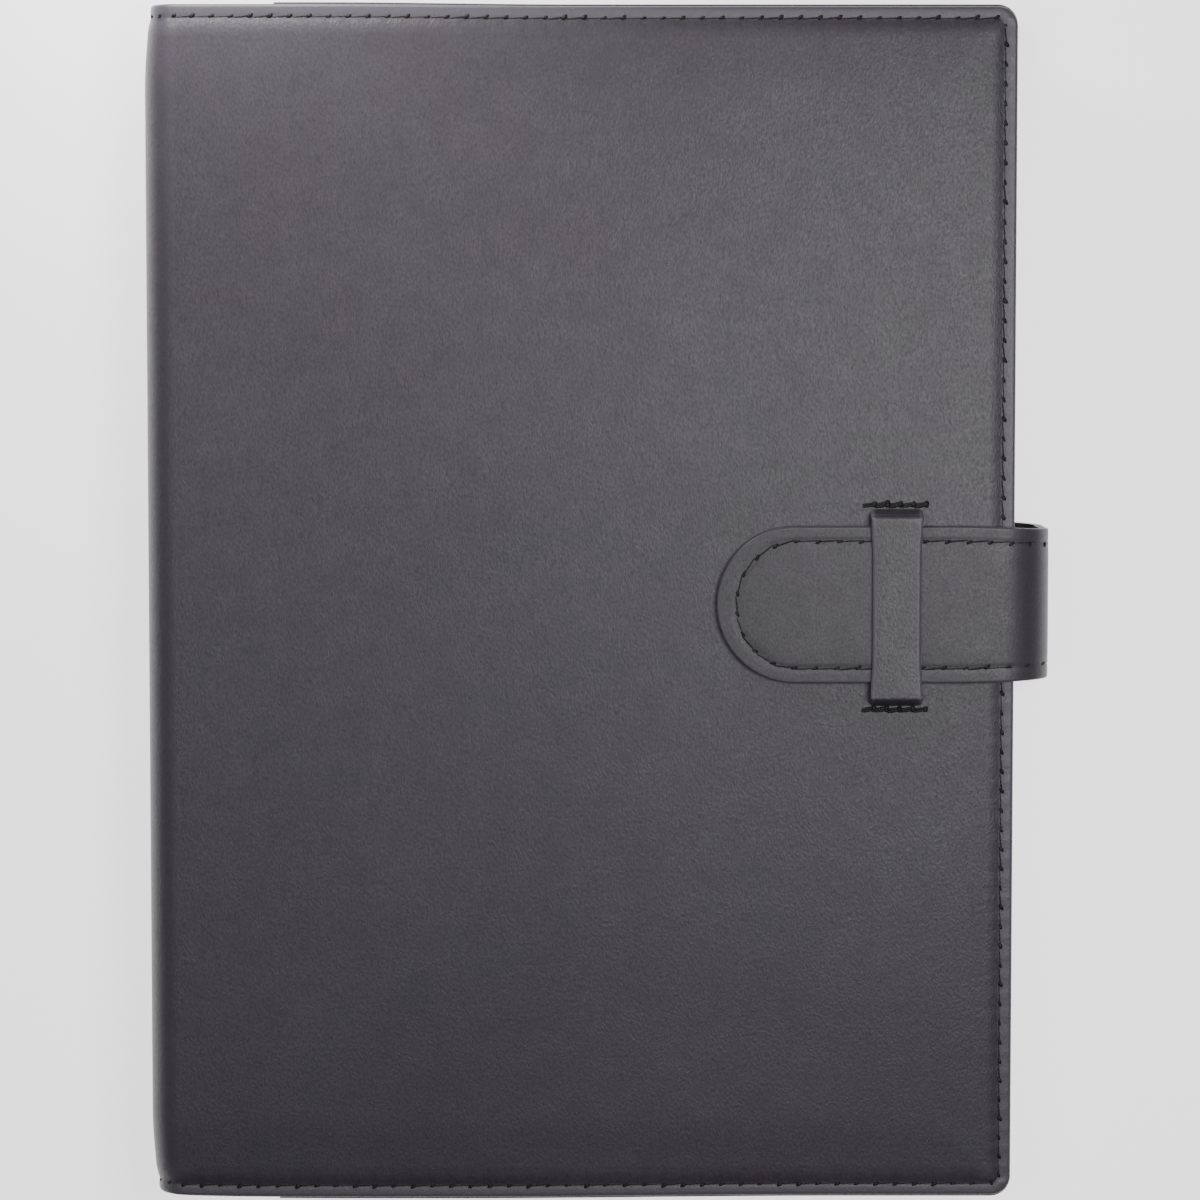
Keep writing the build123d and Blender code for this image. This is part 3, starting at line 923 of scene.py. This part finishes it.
def strap_section(run):
    """The strap's outer face, from half way up its side over the upper turn to the tab."""
    turn = np.interp(run - upright_run, turn_runs, turn_angles)
    beyond = np.clip(run - upright_run - strap_fold_run, 0, None)
    rise = np.minimum(run, upright_run)
    x = strap_fold_x + turn_wide * np.cos(turn) - beyond
    z = strap_middle + rise + turn_high * np.sin(turn)
    nx, nz = turn_high * np.cos(turn), turn_wide * np.sin(turn)
    length = np.hypot(nx, nz)
    return x, z, nx / length, nz / length


def strap_width(run):
    """Half the strap's width: it narrows a little towards its side."""
    return strap_half - 0.7 * mm * (1 - ease((run - 2 * mm) / (24 * mm)))


def lay_strap(run, across, depth):
    """Points at a depth under the strap's outer face."""
    x, z, nx, nz = strap_section(run)
    return np.stack([x - nx * depth, strap_y + across, z - nz * depth], -1)


def strap_relief(edge, pucker, tip, sewn):
    """How far a layer drops at its cut edge and, on the face, in its seam."""
    if not sewn:
        return 0.1 * mm * bump(edge, 0.2 * mm)
    seam = strap_seam_side + (strap_seam_tip - strap_seam_side) * tip
    roll = 0.16 * mm * (1 - np.clip(edge / (0.3 * mm), 0, 1)) ** 2
    rim = 0.05 * mm * (1 - ease((edge - seam) / (2.5 * mm)))
    furrow = (0.13 + 0.05 * pucker) * mm * bump(edge - seam, 0.32 * mm)
    return roll + rim + furrow


def to_tail(points):
    """The same points on the lower turn, which mirrors the upper one."""
    return points * np.array([1, 1, -1]) + np.array([0, 0, 2 * strap_middle])


cut_lines = np.array([
    0, 0.06, 0.16, 0.32, 0.6, 1.1, 1.7, 2.2, 2.7, 3.2, 3.8, 4.8, 6.5, 9, 11.5, 13,
]) * mm
tab_columns = 3 * round(tab_run / tab_pitch)
tip_columns = 3 * round(pi * (strap_half - strap_seam_tip) / tab_pitch)


def tab_grids(depth_top, depth_low, sewn):
    """Upper and lower faces of one layer of the tab, as rows from its edge to its middle."""
    side = np.linspace(0, tab_run, tab_columns + 1)
    swing = np.linspace(0, pi, tip_columns + 1)[1:-1]
    phase = np.concatenate([
        (tab_columns - np.arange(tab_columns + 1)) / 3,
        np.arange(1, tip_columns) / 3,
        np.arange(tab_columns + 1) / 3,
    ])
    straight = np.zeros(tab_columns + 1)
    tip = np.concatenate([straight, np.sin(swing) ** 2, straight])
    top, low = [], []
    for line in list(cut_lines) + [strap_half]:
        reach = np.maximum(strap_width(side) - line, 0) if line < strap_half else 0 * side
        round_reach = strap_half - line
        run = np.concatenate([side, tab_run + round_reach * np.sin(swing), side[::-1]])
        across = np.concatenate([reach, round_reach * np.cos(swing), -reach[::-1]])
        drop = strap_relief(line, np.cos(2 * pi * phase), tip, sewn)
        top.append(lay_strap(run, across, depth_top + drop))
        low.append(lay_strap(run, across, depth_low + np.zeros_like(run)))
    return np.array(top), np.array(low)


def tail_grids(depth_top, depth_low, reach_in, sewn):
    """The same for the straight lower length, whose end is sewn into the back panel."""
    length = upright_run + strap_fold_run + strap_fold_x - (fore_x - reach_in)
    side = np.linspace(0, length, 3 * round(length / tab_pitch) + 1)
    lines = np.concatenate([cut_lines, [strap_half], 2 * strap_half - cut_lines[::-1]])
    top, low = [], []
    for line in lines:
        edge = min(line, 2 * strap_half - line)
        sign = 1 if line <= strap_half else -1
        across = sign * np.maximum(strap_width(side) - edge, 0) if edge < strap_half else 0 * side
        drop = strap_relief(edge, np.cos(2 * pi * side / tab_pitch), 0.0, sewn)
        top.append(lay_strap(side, across, depth_top + drop))
        low.append(lay_strap(side, across, depth_low + np.zeros_like(side)))
    return to_tail(np.array(top)), to_tail(np.array(low))


strap_leather = leather(
    "strap_leather",
    dark=(0.0378, 0.0335, 0.0415),
    light=(0.0478, 0.0423, 0.0520),
    tint=(0.0445, 0.0355, 0.0470),
    grain=0.3 * mm,
    stretch=1.6,
    relief=0.15,
    rough=0.48,
    wear_and_highlight=1.35,
)
backing_leather = leather(
    "backing_leather",
    dark=(0.034, 0.033, 0.036),
    light=(0.046, 0.044, 0.047),
    tint=(0.040, 0.037, 0.040),
    grain=0.4 * mm,
    stretch=1.2,
    relief=0.6,
    rough=0.62,
    wear_and_highlight=2.2,
)


def bend_with_strap(tab_piece, tail_piece):
    """Bakes the transforms of a tab piece and a tail piece."""
    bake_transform(tab_piece)
    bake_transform(tail_piece)


layer_top = layer_thick + layer_gap
for finish, layer, top, low, reach_in, sewn, hue in (
    ("skin", "face", 0, layer_thick, 2.2 * mm, True, strap_leather),
    ("underside", "backing", layer_top, layer_top + layer_thick, 2.0 * mm, False, backing_leather),
):
    tab_shell = closed_shell(*tab_grids(top, low, sewn), folded=True)
    tab_piece = make_piece("strap_tab_" + finish, *tab_shell, hue)
    tail_shell = closed_shell(*tail_grids(top, low, reach_in, sewn))
    tail_piece = make_piece("strap_tail_" + finish, *tail_shell, hue)
    bend_with_strap(tab_piece, tail_piece)
    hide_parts("strap_tab_" + layer, "strap_side_" + layer)
    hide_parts("strap_tail_" + layer, "strap_side_" + layer)

side = np.linspace(0, tab_run, tab_columns // 3 + 1)
swing = np.linspace(0, pi, tip_columns // 3 + 1)[1:-1]
side_reach = strap_width(side) - strap_seam_side
tip_reach = strap_half - strap_seam_side - (strap_seam_tip - strap_seam_side) * np.sin(swing) ** 2
holes_run = np.concatenate([side, tab_run + tip_reach * np.sin(swing), side[::-1]])
holes_across = np.concatenate([side_reach, tip_reach * np.cos(swing), -side_reach[::-1]])
strap_holes = lay_strap(holes_run, holes_across, np.full(holes_run.shape, thread_lie))
tab_seam = sew(
    "strap_tab_stitches", [(strap_holes, outward(strap_section(holes_run)))], 5, Pitch=tab_pitch
)

tail_steps = round((upright_run + strap_fold_run) / tab_pitch)
side = np.linspace(0, tail_steps * tab_pitch, tail_steps + 1)
tail_up = outward(strap_section(side)) * turned_over
tail_runs = []
for sign in (-1, 1):
    across = sign * (strap_width(side) - strap_seam_side)
    tail_runs.append((to_tail(lay_strap(side, across, np.full(side.shape, thread_lie))), tail_up))
tail_seam = sew("strap_tail_stitches", tail_runs, 6, Pitch=tab_pitch)
bend_with_strap(tab_seam, tail_seam)
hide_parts("strap_tab_thread", "strap_side_threads")
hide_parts("strap_side_threads")

# --------------------------------------
# The strap's box seam: the tail is held inside the back panel by a small rectangle
# of the same black thread, which shows on the outside of the back.

low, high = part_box("strap_anchor_thread")
box_inset = 0.3 * mm
box_pitch = 2.6 * mm
box_depth = 0.2 * mm
x0, x1 = low.x + box_inset, high.x - box_inset
y0, y1 = low.y + box_inset, high.y - box_inset


def straight_holes(start, end, pitch):
    """Evenly spaced needle holes between two points."""
    start, end = np.array(start), np.array(end)
    steps = max(1, round(np.linalg.norm(end - start) / pitch))
    return start + (end - start) * np.linspace(0, 1, steps + 1)[:, None]


box_corners = [(x0, y0), (x0, y1), (x1, y1), (x1, y0), (x0, y0)]
box_runs = []
for a, b in zip(box_corners, box_corners[1:]):
    holes = straight_holes((*a, box_depth), (*b, box_depth), box_pitch)
    box_runs.append((holes, np.tile([0, 0, -1.0], (len(holes), 1))))
anchor_seam = sew("strap_anchor_stitches", box_runs, 7, Pitch=box_pitch,
                  Thickness=0.32 * mm, Dip=0.1 * mm)
fasten(anchor_seam, "back", "strap_anchor_thread")

# --------------------------------------
# The keeper: a narrow doubled band of the same leather that bridges the tab. Its two
# ends slope down into slits in the front, each closed by a bar tack wider than it.

low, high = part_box("keeper_band")
keeper_x = (low.x + high.x) / 2
keeper_y = (low.y + high.y) / 2 - 0.4 * mm
keeper_top = high.z
keeper_span = 16.9 * mm
keeper_reach = keeper_span + 1.5 * mm
keeper_thick = 1.0 * mm
keeper_half = 4.45 * mm
keeper_flare = 0.35 * mm  # the band widens this much towards each slit
keeper_sag = 0.12 * mm
crease = 0.5 * mm
tack_reach = 18.9 * mm
tack_pitch = 2.4 * mm


def keeper_profile(count=12):
    """The band's outer face from one slit over the bridge to the other: y, z, ny, nz."""
    foot = np.array([keeper_reach, top_z - 0.5 * mm])
    brow = np.array([keeper_span, keeper_top - 0.05 * mm])
    slope = brow - foot
    lean = np.arctan2(slope[0], slope[1])
    samples = []
    for t in np.linspace(0, 0.8, 7):
        samples.append((*(foot + slope * t), cos(lean), -sin(lean)))
    centre = np.array([keeper_span - crease, keeper_top - crease])
    for k in range(9):
        angle = -lean + (pi / 2 + lean) * k / 8
        samples.append((*(centre + crease * np.array([cos(angle), sin(angle)])),
                        cos(angle), sin(angle)))
    for y in np.linspace(keeper_span - crease, 0, count + 1)[1:-1]:
        sag = keeper_sag * (1 - (y / keeper_span) ** 2)
        samples.append((y, keeper_top - sag, 0.0, 1.0))
    half = np.array(samples)
    other = half[::-1] * np.array([-1, 1, -1, 1])
    middle = np.array([[0.0, keeper_top - keeper_sag, 0.0, 1.0]])
    return np.concatenate([half, middle, other])


profile = keeper_profile()
across_lines = np.array([0, 0.08, 0.22, 0.45, 0.8, 1.4, 2.4, 3.6]) * mm / keeper_half
half_width = keeper_half + keeper_flare * ease((np.abs(profile[:, 0]) - 9 * mm) / (8 * mm))
y, z, ny, nz = profile.T
outer, inner = [], []
for fraction in np.concatenate([across_lines - 1, [0], 1 - across_lines[::-1]]):
    edge = (1 - abs(fraction)) * keeper_half
    drop = 0.3 * mm * (1 - np.clip(edge / (0.5 * mm), 0, 1)) ** 2
    drop += 0.06 * mm * (1 - ease(edge / (2 * mm)))
    tuck = keeper_thick - 0.12 * mm * (edge < 0.1 * mm)
    x = keeper_x + fraction * half_width
    outer.append(np.stack([x, keeper_y + y - ny * drop, z - nz * drop], -1))
    inner.append(np.stack([x, keeper_y + y - ny * tuck, z - nz * tuck], -1))

keeper_leather = leather(
    "keeper_leather",
    dark=(0.0410, 0.0365, 0.0450),
    light=(0.0515, 0.0460, 0.0560),
    tint=(0.0485, 0.0400, 0.0505),
    grain=0.34 * mm,
    stretch=1.6,
    relief=0.3,
    rough=0.44,
    wear_and_highlight=2.8,
)
keeper = make_piece("keeper_strip", *closed_shell(np.array(outer), np.array(inner)), keeper_leather)
fasten(keeper, "front", "keeper_band")

tack_low, tack_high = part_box("keeper_tacks")
tack_sizes = {
    "Pitch": tack_pitch, "Thickness": 0.55 * mm, "Dip": 0.12 * mm, "Slant": radians(9),
    "Knot length": 1.1 * mm, "Knot width": 0.95 * mm,
}
tack_z = top_z - 0.02 * mm
tack_runs = []
for y in (keeper_y - tack_reach, keeper_y + tack_reach):
    for offset in (-0.17 * mm, 0.2 * mm):
        start = (tack_low.x - 0.1 * mm, y + offset, tack_z)
        end = (tack_high.x - 0.5 * mm, y + offset, tack_z)
        holes = straight_holes(start, end, tack_pitch)
        tack_runs.append((holes, np.tile([0, 0, 1.0], (len(holes), 1))))
tacks = sew("keeper_bar_tacks", tack_runs, 8, **tack_sizes)
fasten(tacks, "front", "keeper_tacks")

# --------------------------------------
# The studio: a pale floor that glows a little, a small soft light beyond the head, two
# larger ones above, and a camera almost straight overhead that leans towards the head.

floor_half = 3
floor_glow = 1.6
corners = [(-1, -1), (1, -1), (1, 1), (-1, 1)]
floor_mesh = bpy.data.meshes.new("floor")
floor_mesh.from_pydata([(x * floor_half, y * floor_half, 0) for x, y in corners], [], [(0, 1, 2, 3)])
floor = show("floor", floor_mesh)
floor.location.z = -0.2 * mm
floor_paint, _, floor_shader = new_material("pale_floor")
floor_shader.inputs["Base Color"].default_value = (0.9, 0.9, 0.9, 1)
floor_shader.inputs["Roughness"].default_value = 0.9
floor_shader.inputs["Emission Color"].default_value = (1, 1, 1, 1)
floor_shader.inputs["Emission Strength"].default_value = floor_glow
floor_mesh.materials.append(floor_paint)

world = bpy.data.worlds.new("studio")
bpy.context.scene.world = world
world.use_nodes = True
sky = world.node_tree.nodes["Background"]
sky.inputs["Color"].default_value = (1, 1, 1, 1)
sky.inputs["Strength"].default_value = 0.04


def softbox(name, place, width, height, power):
    """A rectangular soft light that points at the middle of the cover."""
    light = bpy.data.lights.new(name, "AREA")
    light.shape = "RECTANGLE"
    light.size = width
    light.size_y = height
    light.energy = power
    lamp = show(name, light)
    lamp.location = place
    lamp.visible_camera = False
    lamp.rotation_mode = "QUATERNION"
    cover_middle = Vector((0.0, 0.0, 0.02))
    lamp.rotation_quaternion = (cover_middle - Vector(place)).to_track_quat("-Z", "Y")


softbox("head_light", (-0.08, 0.175, 0.075), 0.08, 0.05, 0.27)
softbox("right_light", (0.15, 0.04, 0.45), 0.18, 0.18, 1.15)
softbox("left_light", (-0.18, 0.0, 0.6), 0.25, 0.25, 0.6)

camera_distance = 0.8
camera_tilt = radians(4.2)
camera_data = bpy.data.cameras.new("camera")
camera_data.lens = 130.4
camera_data.sensor_width = 36
camera_data.dof.use_dof = False
camera_data.clip_start = 0.05
camera = show("camera", camera_data)
bpy.context.scene.camera = camera
target = Vector((0.35, 1.3, 0)) * mm + Vector((0, 0, top_z))
camera.location = target + Vector((0, sin(camera_tilt), cos(camera_tilt))) * camera_distance
camera.rotation_euler = (-camera_tilt, 0, 0)
